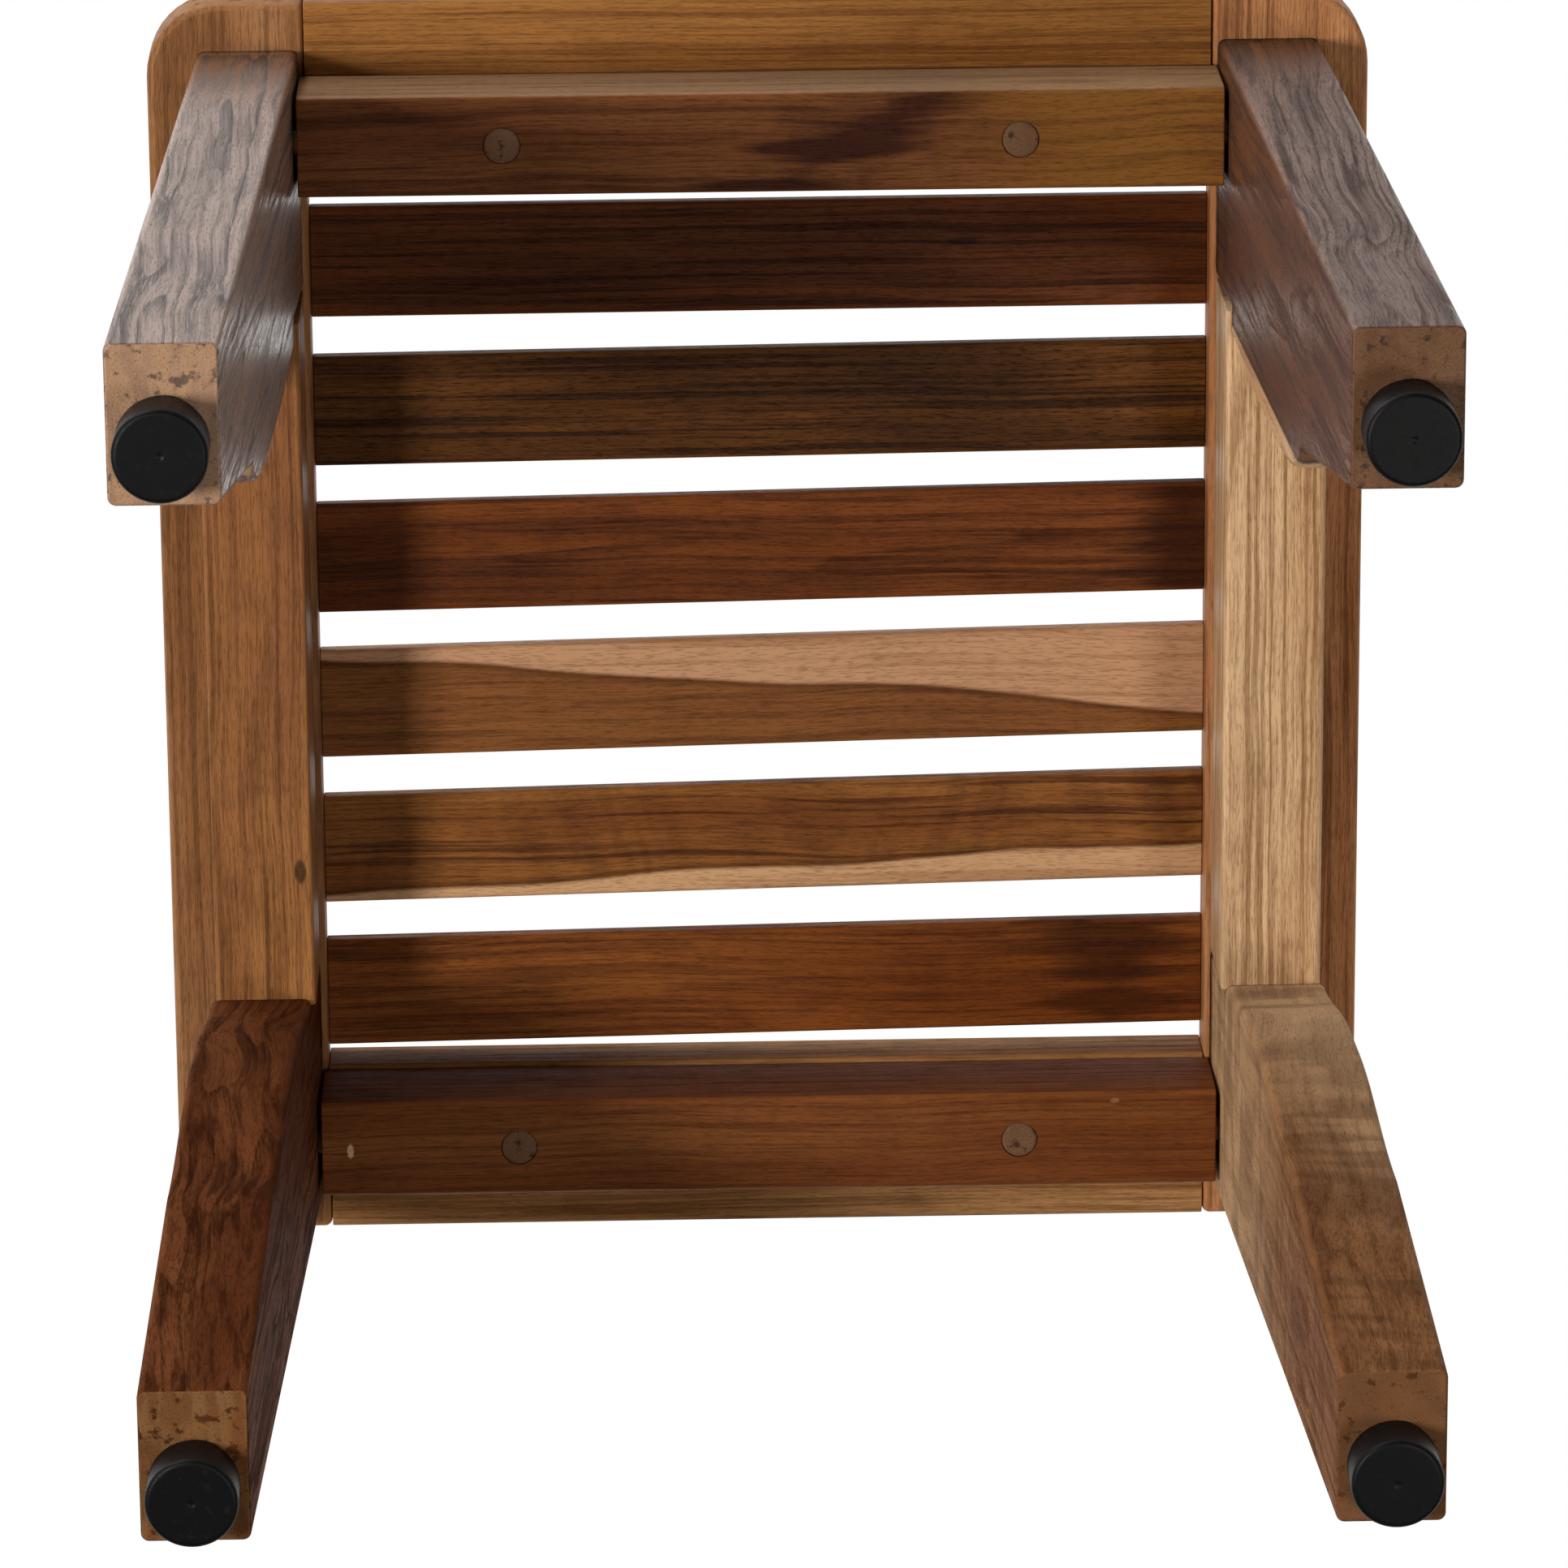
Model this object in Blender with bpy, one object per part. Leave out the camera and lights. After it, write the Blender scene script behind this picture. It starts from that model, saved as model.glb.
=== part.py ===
"""Slatted teak shower stool: a framed seat with six slats, four shaped legs tied by
aprons, and four screw-in rubber feet.

Metres, +Z up.  The origin is on the floor under the middle of the seat.  +X runs along
the slats and -Y is the front, so the side boards lie at -X and +X.
"""

import math

import bmesh
import bpy

# Driving dimensions.
SEAT_WIDTH = 0.400
SEAT_DEPTH = 0.424
STOOL_HEIGHT = 0.390
FIT_GAP = 0.0003

# Seat boards.
BOARD_THICKNESS = 0.022
SIDE_BOARD_WIDTH = 0.0515
END_BOARD_DEPTH = 0.058
SEAT_CORNER_RADIUS = 0.024
CORNER_SEGMENTS = 6
BOARD_ROUNDING = 0.0025

# Slats, let into the side boards by tenons.
SLAT_COUNT = 6
SLAT_PITCH = 0.050
SLAT_WIDTH = 0.0375
SLAT_THICKNESS = 0.010
SLAT_GROUP_OFFSET = 0.0022
SLAT_ROUNDING = 0.0018
TENON_LENGTH = 0.012
TENON_SHOULDER = 0.003

# Legs: upright boards that lean out sideways and narrow towards the floor.
LEG_THICKNESS = 0.033
LEG_DEPTH_TOP = 0.080
LEG_DEPTH_FOOT = 0.049
LEG_INSET_X = 0.0165
LEG_INSET_Y = 0.0155
LEG_SPLAY_X = 0.012
LEG_LEAN_Y = 0.012
LEG_TAPER_START = 0.66
LEG_ROUNDING = 0.003

# Shoulder strips, glued to the inner edge of each leg below the apron.
STRIP_DEPTH = 0.013
STRIP_ROUND_START = 0.48
REAR_STRIP_TOP_DEPTH = 0.0015
REAR_STRIP_RISE = 0.11
REAR_STRIP_ROUND_START = 0.40
STRIP_STEPS = 7
STRIP_TIP_DEPTH = 0.0012
STRIP_ROUNDING = 0.0004

# Aprons under the seat frame.
SIDE_APRON_HEIGHT = 0.048
SIDE_APRON_THICKNESS = 0.033
END_APRON_HEIGHT = 0.036
END_APRON_THICKNESS = 0.033
END_APRON_INSET = 0.024
APRON_ROUNDING = 0.0015

# Dowels that tie the aprons to the legs.
DOWEL_RADIUS = 0.004
DOWEL_LENGTH = 0.030
DOWEL_SIDES = 12

# Screws that hold the seat down to the end aprons, and the plugs that cover them.
SCREW_SPACING = 0.168
PLUG_RADIUS = 0.006
PLUG_LENGTH = 0.008
PLUG_RECESS = 0.0004
SCREW_HEAD_RADIUS = 0.0045
SCREW_HEAD_HEIGHT = 0.003
SCREW_SHANK_RADIUS = 0.0022
SCREW_BITE = 0.013
SCREW_SIDES = 16

# Screw-in feet.
PAD_RADIUS = 0.014
PAD_HEIGHT = 0.018
PAD_ROUNDING = 0.0015
PAD_SIDES = 32
PAD_OFFSET_Y = 0.005
STUD_RADIUS = 0.0038
STUD_IN_PAD = 0.009
STUD_IN_LEG = 0.016
INSERT_RADIUS = 0.006
INSERT_LENGTH = 0.014
FOOT_SIDES = 16

# Levels and planes that the dimensions fix.
LEG_LENGTH = STOOL_HEIGHT - BOARD_THICKNESS - PAD_HEIGHT
LEG_FOOT_Z = PAD_HEIGHT
BOARD_UNDERSIDE_Z = STOOL_HEIGHT - BOARD_THICKNESS
SIDE_APRON_BOTTOM_Z = BOARD_UNDERSIDE_Z - SIDE_APRON_HEIGHT
END_APRON_BOTTOM_Z = BOARD_UNDERSIDE_Z - END_APRON_HEIGHT
SLAT_MID_Z = STOOL_HEIGHT - SLAT_THICKNESS / 2
LEG_OUTER_X = SEAT_WIDTH / 2 - LEG_INSET_X
LEG_INNER_X = LEG_OUTER_X - LEG_THICKNESS
LEG_MID_X = LEG_OUTER_X - LEG_THICKNESS / 2
LEG_OUTER_Y = SEAT_DEPTH / 2 - LEG_INSET_Y
LEG_INNER_Y = LEG_OUTER_Y - LEG_DEPTH_TOP
BOARD_INNER_X = SEAT_WIDTH / 2 - SIDE_BOARD_WIDTH
END_APRON_MID_Y = SEAT_DEPTH / 2 - END_APRON_INSET - END_APRON_THICKNESS / 2
FOOT_X = LEG_MID_X + LEG_SPLAY_X
FOOT_Y = LEG_OUTER_Y - LEG_LEAN_Y - LEG_DEPTH_FOOT / 2

SIDES = (("left", -1), ("right", 1))
ENDS = (("front", -1), ("rear", 1))
CORNERS = tuple((end + "_" + side, sx, sy) for end, sy in ENDS for side, sx in SIDES)


# ---------------------------------------------------------------- helpers

def clear_scene():
    for obj in list(bpy.data.objects):
        bpy.data.objects.remove(obj, do_unlink=True)


def make_material(name, color, roughness, metallic=0.0):
    material = bpy.data.materials.new(name)
    material.use_nodes = True
    shader = material.node_tree.nodes["Principled BSDF"]
    shader.inputs["Base Color"].default_value = (*color, 1.0)
    shader.inputs["Roughness"].default_value = roughness
    shader.inputs["Metallic"].default_value = metallic
    material.diffuse_color = (*color, 1.0)
    return material


def object_from(bm, name, location=(0, 0, 0), material=None, parent=None):
    """Turn a bmesh into a named object with its own material."""
    mesh = bpy.data.meshes.new(name)
    bm.to_mesh(mesh)
    bm.free()
    obj = bpy.data.objects.new(name, mesh)
    obj.location = location
    obj.parent = parent
    if material is not None:
        mesh.materials.append(material)
    bpy.context.scene.collection.objects.link(obj)
    return obj


def add_box(bm, low, high):
    """Add a closed box between two opposite corners."""
    made = bmesh.ops.create_cube(bm, size=1.0)["verts"]
    for vert in made:
        for axis in range(3):
            middle = (low[axis] + high[axis]) / 2
            vert.co[axis] = middle + vert.co[axis] * (high[axis] - low[axis])


def add_cylinder(bm, start, axis, length, radius, sides):
    """Add a closed cylinder that runs from start along the x, y or z axis."""
    made = bmesh.ops.create_cone(
        bm, cap_ends=True, segments=sides, radius1=radius, radius2=radius, depth=length)
    for vert in made["verts"]:
        x, y, z = vert.co
        along = z + length / 2
        if axis == "x":
            moved = (along, x, y)
        elif axis == "y":
            moved = (y, along, x)
        else:
            moved = (x, y, along)
        vert.co = [start[i] + moved[i] for i in range(3)]


def add_prism(bm, outline, low, high, place):
    """Fill bm with an outline extruded from low to high; place maps (u, v, w) to a point."""
    lower = [bm.verts.new(place(u, v, low)) for u, v in outline]
    upper = [bm.verts.new(place(u, v, high)) for u, v in outline]
    bm.faces.new(lower)
    bm.faces.new(upper)
    for i, vert in enumerate(lower):
        following = (i + 1) % len(lower)
        bm.faces.new((vert, lower[following], upper[following], upper[i]))
    bmesh.ops.recalc_face_normals(bm, faces=bm.faces)


def add_turned(bm, profile, sides):
    """Fill bm with a profile of (radius, height) points turned around +Z."""
    rings = []
    for radius, height in profile:
        if radius == 0:
            rings.append([bm.verts.new((0, 0, height))])
            continue
        angles = [2 * math.pi * i / sides for i in range(sides)]
        rings.append([bm.verts.new((radius * math.cos(a), radius * math.sin(a), height)) for a in angles])
    for ring, following in zip(rings, rings[1:]):
        for i in range(sides):
            j = (i + 1) % sides
            corners = (ring[i % len(ring)], ring[j % len(ring)],
                       following[j % len(following)], following[i % len(following)])
            bm.faces.new(tuple(dict.fromkeys(corners)))
    bmesh.ops.recalc_face_normals(bm, faces=bm.faces)


def round_edges(obj, width, segments=2, angle=50):
    modifier = obj.modifiers.new("rounded_edges", "BEVEL")
    modifier.width = width
    modifier.segments = segments
    modifier.limit_method = "ANGLE"
    modifier.angle_limit = math.radians(angle)


def cut_away(obj, bm, name):
    """Cut the closed shapes in bm out of obj."""
    cutter = object_from(bm, name)
    cutter.hide_render = True
    cutter.display_type = "WIRE"
    modifier = obj.modifiers.new("cut", "BOOLEAN")
    modifier.operation = "DIFFERENCE"
    modifier.solver = "EXACT"
    modifier.object = cutter


def shade_round(obj):
    obj.data.shade_smooth()
    obj.data.set_sharp_from_angle(angle=math.radians(40))


# ---------------------------------------------------------------- seat

def slat_middles():
    first = SLAT_GROUP_OFFSET - SLAT_PITCH * (SLAT_COUNT - 1) / 2
    return [first + SLAT_PITCH * i for i in range(SLAT_COUNT)]


def tenon_box(middle_y, width, middle_z, thickness, sx, clearance):
    """Corners of an end tenon of a board, or of its mortise when there is clearance."""
    half_width = width / 2 - TENON_SHOULDER + clearance
    half_thickness = thickness / 2 - TENON_SHOULDER + clearance
    near = BOARD_INNER_X - 0.002
    far = BOARD_INNER_X + TENON_LENGTH + clearance
    low_x, high_x = sorted((sx * near, sx * far))
    return ((low_x, middle_y - half_width, middle_z - half_thickness),
            (high_x, middle_y + half_width, middle_z + half_thickness))


def make_cross_board(name, middle_y, width, middle_z, thickness, rounding, material, parent):
    """A board across the seat, with a tenon on each end."""
    half_length = BOARD_INNER_X - FIT_GAP
    bm = bmesh.new()
    add_box(bm, (-half_length, -width / 2, -thickness / 2), (half_length, width / 2, thickness / 2))
    obj = object_from(bm, name, (0, middle_y, middle_z), material, parent)
    round_edges(obj, rounding)
    tenons = bmesh.new()
    for _, sx in SIDES:
        low, high = tenon_box(middle_y, width, middle_z, thickness, sx, 0)
        add_box(tenons, low, high)
    joined = object_from(tenons, name + "_tenons")
    joined.hide_render = True
    joined.display_type = "WIRE"
    modifier = obj.modifiers.new("tenons", "BOOLEAN")
    modifier.operation = "UNION"
    modifier.solver = "EXACT"
    modifier.object = joined
    return obj


def side_board_outline(sx):
    """Plan of a side board, with its two outer corners rounded."""
    outline = [(sx * BOARD_INNER_X, -SEAT_DEPTH / 2), (sx * BOARD_INNER_X, SEAT_DEPTH / 2)]
    centre_x = SEAT_WIDTH / 2 - SEAT_CORNER_RADIUS
    centre_y = SEAT_DEPTH / 2 - SEAT_CORNER_RADIUS
    for _, sy in reversed(ENDS):
        for step in range(CORNER_SEGMENTS + 1):
            turn = step if sy > 0 else CORNER_SEGMENTS - step
            angle = math.pi / 2 * (1 - turn / CORNER_SEGMENTS)
            x = centre_x + SEAT_CORNER_RADIUS * math.cos(angle)
            y = centre_y + SEAT_CORNER_RADIUS * math.sin(angle)
            outline.append((sx * x, sy * y))
    return outline


def make_seat(root, woods):
    end_boards = {}
    end_middle_y = SEAT_DEPTH / 2 - END_BOARD_DEPTH / 2
    board_middle_z = STOOL_HEIGHT - BOARD_THICKNESS / 2
    for end, sy in ENDS:
        board = make_cross_board(
            "end_board_" + end, sy * end_middle_y, END_BOARD_DEPTH, board_middle_z,
            BOARD_THICKNESS, BOARD_ROUNDING, woods["end_board_" + end], root)
        end_boards[end] = board
    for index, middle_y in enumerate(slat_middles(), start=1):
        name = "slat_%d" % index
        make_cross_board(name, middle_y, SLAT_WIDTH, SLAT_MID_Z, SLAT_THICKNESS,
                         SLAT_ROUNDING, woods[name], root)
    for side, sx in SIDES:
        name = "side_board_" + side
        bm = bmesh.new()
        add_prism(bm, side_board_outline(sx), BOARD_UNDERSIDE_Z, STOOL_HEIGHT,
                  lambda u, v, w: (u, v, w))
        board = object_from(bm, name, material=woods[name], parent=root)
        round_edges(board, BOARD_ROUNDING)
        mortises = bmesh.new()
        for _, sy in ENDS:
            low, high = tenon_box(sy * end_middle_y, END_BOARD_DEPTH, board_middle_z,
                                  BOARD_THICKNESS, sx, FIT_GAP)
            add_box(mortises, low, high)
        for middle_y in slat_middles():
            low, high = tenon_box(middle_y, SLAT_WIDTH, SLAT_MID_Z, SLAT_THICKNESS, sx, FIT_GAP)
            add_box(mortises, low, high)
        cut_away(board, mortises, name + "_mortises")
    return end_boards


# ---------------------------------------------------------------- legs and aprons

def leg_fraction(z):
    """How far down the leg a level is: 0 at the seat, 1 at the end grain."""
    return (BOARD_UNDERSIDE_Z - z) / LEG_LENGTH


def leg_outline():
    """Side view of a leg: (depth behind the top of its outer edge, z)."""
    return [
        (0, BOARD_UNDERSIDE_Z - FIT_GAP),
        (LEG_DEPTH_TOP, BOARD_UNDERSIDE_Z - FIT_GAP),
        (LEG_DEPTH_TOP, BOARD_UNDERSIDE_Z - LEG_LENGTH * LEG_TAPER_START),
        (LEG_LEAN_Y + LEG_DEPTH_FOOT, LEG_FOOT_Z),
        (LEG_LEAN_Y, LEG_FOOT_Z),
    ]


def strip_outline(sy):
    """Side view of a shoulder strip, which rounds off into the leg's inner edge.

    A front strip has a square shoulder under the apron, a rear one swells out gradually.
    """
    near = LEG_DEPTH_TOP + FIT_GAP
    top = SIDE_APRON_BOTTOM_Z - FIT_GAP
    round_start = STRIP_ROUND_START
    if sy < 0:
        outline = [(near, top), (near + STRIP_DEPTH, top)]
    else:
        round_start = REAR_STRIP_ROUND_START
        rise_end = top - LEG_LENGTH * REAR_STRIP_RISE
        outline = [(near, top), (near + REAR_STRIP_TOP_DEPTH, top)]
        outline.append((near + STRIP_DEPTH * 0.75, (top + rise_end) / 2))
        outline.append((near + STRIP_DEPTH, rise_end))
    for step in range(STRIP_STEPS + 1):
        angle = math.pi / 2 * step / STRIP_STEPS
        depth = STRIP_TIP_DEPTH + (STRIP_DEPTH - STRIP_TIP_DEPTH) * math.cos(angle)
        fraction = round_start + (LEG_TAPER_START - round_start) * math.sin(angle)
        outline.append((near + depth, BOARD_UNDERSIDE_Z - LEG_LENGTH * fraction))
    outline.append((near, outline[-1][1]))
    return outline


def leg_solid(name, outline, sx, sy, material, parent):
    """Extrude a leg outline across the leg's thickness, leaning out towards the floor."""
    def place(depth, z, across):
        x = LEG_INNER_X + across + LEG_SPLAY_X * leg_fraction(z)
        return (sx * x, sy * (LEG_OUTER_Y - depth), z)

    bm = bmesh.new()
    add_prism(bm, outline, 0, LEG_THICKNESS, place)
    return object_from(bm, name, material=material, parent=parent)


def dowel_levels(apron_height):
    """The two dowels of a joint lie a quarter of the apron's height from its edges."""
    return (BOARD_UNDERSIDE_Z - apron_height / 4, BOARD_UNDERSIDE_Z - apron_height * 3 / 4)


def side_dowels(sx, sy):
    """Middle and axis of the dowels between a leg and its side apron."""
    return [((sx * LEG_MID_X, sy * LEG_INNER_Y, z), "y") for z in dowel_levels(SIDE_APRON_HEIGHT)]


def end_dowels(sx, sy):
    """Middle and axis of the dowels between a leg and its end apron."""
    return [((sx * LEG_INNER_X, sy * END_APRON_MID_Y, z), "x") for z in dowel_levels(END_APRON_HEIGHT)]


def add_dowel(bm, middle, axis, clearance):
    """Add a dowel, or its hole when there is clearance, centred on a joint."""
    length = DOWEL_LENGTH + 2 * clearance
    start = list(middle)
    start["xy".index(axis)] -= length / 2
    add_cylinder(bm, start, axis, length, DOWEL_RADIUS + clearance, DOWEL_SIDES)


def foot_place(sx, sy):
    return (sx * FOOT_X, sy * FOOT_Y + PAD_OFFSET_Y)


def make_legs(root, woods):
    for corner, sx, sy in CORNERS:
        leg = leg_solid("leg_" + corner, leg_outline(), sx, sy, woods["leg_" + corner], root)
        round_edges(leg, LEG_ROUNDING, angle=60)
        holes = bmesh.new()
        for middle, axis in side_dowels(sx, sy) + end_dowels(sx, sy):
            add_dowel(holes, middle, axis, FIT_GAP)
        x, y = foot_place(sx, sy)
        add_cylinder(holes, (x, y, LEG_FOOT_Z - 0.002), "z", INSERT_LENGTH + 0.002 + FIT_GAP,
                     INSERT_RADIUS + FIT_GAP, FOOT_SIDES)
        cut_away(leg, holes, leg.name + "_holes")
        stud_hole = bmesh.new()
        hole_length = STUD_IN_LEG + 2 * FIT_GAP
        add_cylinder(stud_hole, (x, y, LEG_FOOT_Z - 0.001), "z", hole_length + 0.001,
                     STUD_RADIUS + FIT_GAP, FOOT_SIDES)
        cut_away(leg, stud_hole, leg.name + "_stud_hole")
        strip = leg_solid("leg_strip_" + corner, strip_outline(sy), sx, sy,
                          woods["leg_strip_" + corner], root)
        round_edges(strip, STRIP_ROUNDING, segments=1, angle=60)


def make_dowels(root, wood):
    for corner, sx, sy in CORNERS:
        for number, (middle, axis) in enumerate(side_dowels(sx, sy) + end_dowels(sx, sy), start=1):
            bm = bmesh.new()
            add_dowel(bm, (0, 0, 0), axis, 0)
            obj = object_from(bm, "dowel_%s_%d" % (corner, number), middle, wood, root)
            shade_round(obj)


def make_side_aprons(root, woods):
    half_length = LEG_INNER_Y - FIT_GAP
    half_thickness = SIDE_APRON_THICKNESS / 2
    half_height = (SIDE_APRON_HEIGHT - FIT_GAP) / 2
    for side, sx in SIDES:
        name = "side_apron_" + side
        bm = bmesh.new()
        add_box(bm, (-half_thickness, -half_length, -half_height),
                (half_thickness, half_length, half_height))
        middle = (sx * LEG_MID_X, 0, SIDE_APRON_BOTTOM_Z + half_height)
        apron = object_from(bm, name, middle, woods[name], root)
        round_edges(apron, APRON_ROUNDING)
        holes = bmesh.new()
        for _, sy in ENDS:
            for place, axis in side_dowels(sx, sy):
                add_dowel(holes, place, axis, FIT_GAP)
        cut_away(apron, holes, name + "_holes")


def screw_places(sy):
    return [(sx * SCREW_SPACING / 2, sy * END_APRON_MID_Y) for _, sx in SIDES]


def make_end_aprons(root, woods):
    half_length = LEG_INNER_X - FIT_GAP
    half_depth = END_APRON_THICKNESS / 2
    half_height = (END_APRON_HEIGHT - FIT_GAP) / 2
    for end, sy in ENDS:
        name = "end_apron_" + end
        bm = bmesh.new()
        add_box(bm, (-half_length, -half_depth, -half_height),
                (half_length, half_depth, half_height))
        middle = (0, sy * END_APRON_MID_Y, END_APRON_BOTTOM_Z + half_height)
        apron = object_from(bm, name, middle, woods[name], root)
        round_edges(apron, APRON_ROUNDING)
        holes = bmesh.new()
        for _, sx in SIDES:
            for place, axis in end_dowels(sx, sy):
                add_dowel(holes, place, axis, FIT_GAP)
        for x, y in screw_places(sy):
            recess = PLUG_RECESS + PLUG_LENGTH + SCREW_HEAD_HEIGHT + 2 * FIT_GAP
            add_cylinder(holes, (x, y, END_APRON_BOTTOM_Z - 0.002), "z", recess + 0.002,
                         PLUG_RADIUS + FIT_GAP, SCREW_SIDES)
        cut_away(apron, holes, name + "_holes")
        shank_holes = bmesh.new()
        for x, y in screw_places(sy):
            add_cylinder(shank_holes, (x, y, END_APRON_BOTTOM_Z + PLUG_LENGTH), "z", END_APRON_HEIGHT,
                         SCREW_SHANK_RADIUS + FIT_GAP, SCREW_SIDES)
        cut_away(apron, shank_holes, name + "_shank_holes")


# ---------------------------------------------------------------- fastenings and feet

def make_screws(root, end_boards, steel, plug_wood):
    head_bottom = PLUG_RECESS + PLUG_LENGTH + FIT_GAP
    shank_length = END_APRON_HEIGHT - head_bottom + SCREW_BITE
    profile = [
        (0, 0),
        (SCREW_HEAD_RADIUS, 0),
        (SCREW_HEAD_RADIUS, SCREW_HEAD_HEIGHT / 2),
        (SCREW_SHANK_RADIUS, SCREW_HEAD_HEIGHT),
        (SCREW_SHANK_RADIUS, shank_length - 2 * SCREW_SHANK_RADIUS),
        (0, shank_length),
    ]
    for end, sy in ENDS:
        pilot_holes = bmesh.new()
        for (side, _), (x, y) in zip(SIDES, screw_places(sy)):
            screw = bmesh.new()
            add_turned(screw, profile, SCREW_SIDES)
            obj = object_from(screw, "seat_screw_%s_%s" % (end, side),
                              (x, y, END_APRON_BOTTOM_Z + head_bottom), steel, root)
            shade_round(obj)
            plug = bmesh.new()
            add_cylinder(plug, (0, 0, 0), "z", PLUG_LENGTH, PLUG_RADIUS, SCREW_SIDES)
            obj = object_from(plug, "screw_plug_%s_%s" % (end, side),
                              (x, y, END_APRON_BOTTOM_Z + PLUG_RECESS), plug_wood, root)
            shade_round(obj)
            add_cylinder(pilot_holes, (x, y, BOARD_UNDERSIDE_Z - 0.002), "z",
                         SCREW_BITE + FIT_GAP + 0.002, SCREW_SHANK_RADIUS + FIT_GAP, SCREW_SIDES)
        cut_away(end_boards[end], pilot_holes, "end_board_%s_pilot_holes" % end)


def make_feet(root, rubber, steel, brass):
    pad_top = PAD_HEIGHT - FIT_GAP
    pad_profile = [
        (0, 0),
        (PAD_RADIUS - PAD_ROUNDING, 0),
        (PAD_RADIUS, PAD_ROUNDING),
        (PAD_RADIUS, pad_top - PAD_ROUNDING),
        (PAD_RADIUS - PAD_ROUNDING, pad_top),
        (STUD_RADIUS + FIT_GAP, pad_top),
        (STUD_RADIUS + FIT_GAP, PAD_HEIGHT - STUD_IN_PAD - FIT_GAP),
        (0, PAD_HEIGHT - STUD_IN_PAD - FIT_GAP),
    ]
    insert_profile = [
        (INSERT_RADIUS, 0),
        (INSERT_RADIUS, INSERT_LENGTH),
        (STUD_RADIUS + FIT_GAP, INSERT_LENGTH),
        (STUD_RADIUS + FIT_GAP, 0),
        (INSERT_RADIUS, 0),
    ]
    for corner, sx, sy in CORNERS:
        x, y = foot_place(sx, sy)
        foot_axis = bpy.data.objects.new("foot_axis_" + corner, None)
        foot_axis.location = (x, y, 0)
        foot_axis.parent = root
        bpy.context.scene.collection.objects.link(foot_axis)

        pad = bmesh.new()
        add_turned(pad, pad_profile, PAD_SIDES)
        shade_round(object_from(pad, "foot_pad_" + corner, material=rubber, parent=foot_axis))

        stud = bmesh.new()
        add_cylinder(stud, (0, 0, PAD_HEIGHT - STUD_IN_PAD), "z", STUD_IN_PAD + STUD_IN_LEG,
                     STUD_RADIUS, FOOT_SIDES)
        shade_round(object_from(stud, "foot_stud_" + corner, material=steel, parent=foot_axis))

        insert = bmesh.new()
        add_turned(insert, insert_profile, FOOT_SIDES)
        bmesh.ops.remove_doubles(insert, verts=insert.verts, dist=0.00001)
        shade_round(object_from(insert, "foot_insert_" + corner, (x, y, LEG_FOOT_Z), brass, root))


# ---------------------------------------------------------------- materials and build

WOOD_COLORS = {
    "side_board_left": (0.25, 0.13, 0.06),
    "side_board_right": (0.18, 0.07, 0.02),
    "end_board_front": (0.33, 0.15, 0.05),
    "end_board_rear": (0.28, 0.12, 0.04),
    "slat_1": (0.07, 0.025, 0.008),
    "slat_2": (0.10, 0.035, 0.010),
    "slat_3": (0.12, 0.045, 0.012),
    "slat_4": (0.30, 0.15, 0.06),
    "slat_5": (0.20, 0.08, 0.025),
    "slat_6": (0.16, 0.06, 0.018),
    "leg_front_left": (0.28, 0.22, 0.18),
    "leg_front_right": (0.22, 0.14, 0.11),
    "leg_rear_left": (0.22, 0.10, 0.05),
    "leg_rear_right": (0.26, 0.15, 0.08),
    "leg_strip_front_left": (0.22, 0.15, 0.11),
    "leg_strip_front_right": (0.33, 0.21, 0.12),
    "leg_strip_rear_left": (0.22, 0.10, 0.05),
    "leg_strip_rear_right": (0.30, 0.17, 0.08),
    "side_apron_left": (0.34, 0.15, 0.06),
    "side_apron_right": (0.52, 0.32, 0.15),
    "end_apron_front": (0.32, 0.14, 0.05),
    "end_apron_rear": (0.30, 0.13, 0.05),
}


def build():
    clear_scene()
    root = bpy.data.objects.new("stool", None)
    bpy.context.scene.collection.objects.link(root)
    woods = {name: make_material(name + "_teak", color, 0.45) for name, color in WOOD_COLORS.items()}
    dowel_wood = make_material("dowel_beech", (0.55, 0.40, 0.24), 0.6)
    plug_wood = make_material("plug_teak", (0.36, 0.18, 0.07), 0.5)
    steel = make_material("zinc_steel", (0.55, 0.55, 0.56), 0.35, 1.0)
    brass = make_material("brass", (0.65, 0.47, 0.20), 0.35, 1.0)
    rubber = make_material("black_rubber", (0.012, 0.012, 0.014), 0.55)

    end_boards = make_seat(root, woods)
    make_legs(root, woods)
    make_dowels(root, dowel_wood)
    make_side_aprons(root, woods)
    make_end_aprons(root, woods)
    make_screws(root, end_boards, steel, plug_wood)
    make_feet(root, rubber, steel, brass)


build()
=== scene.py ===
"""Looks of the slatted teak stool: rounded boards, shaped legs, rubber feet, wood grain and studio."""

import math

import bmesh
import bpy
from mathutils import Matrix, Vector


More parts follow.
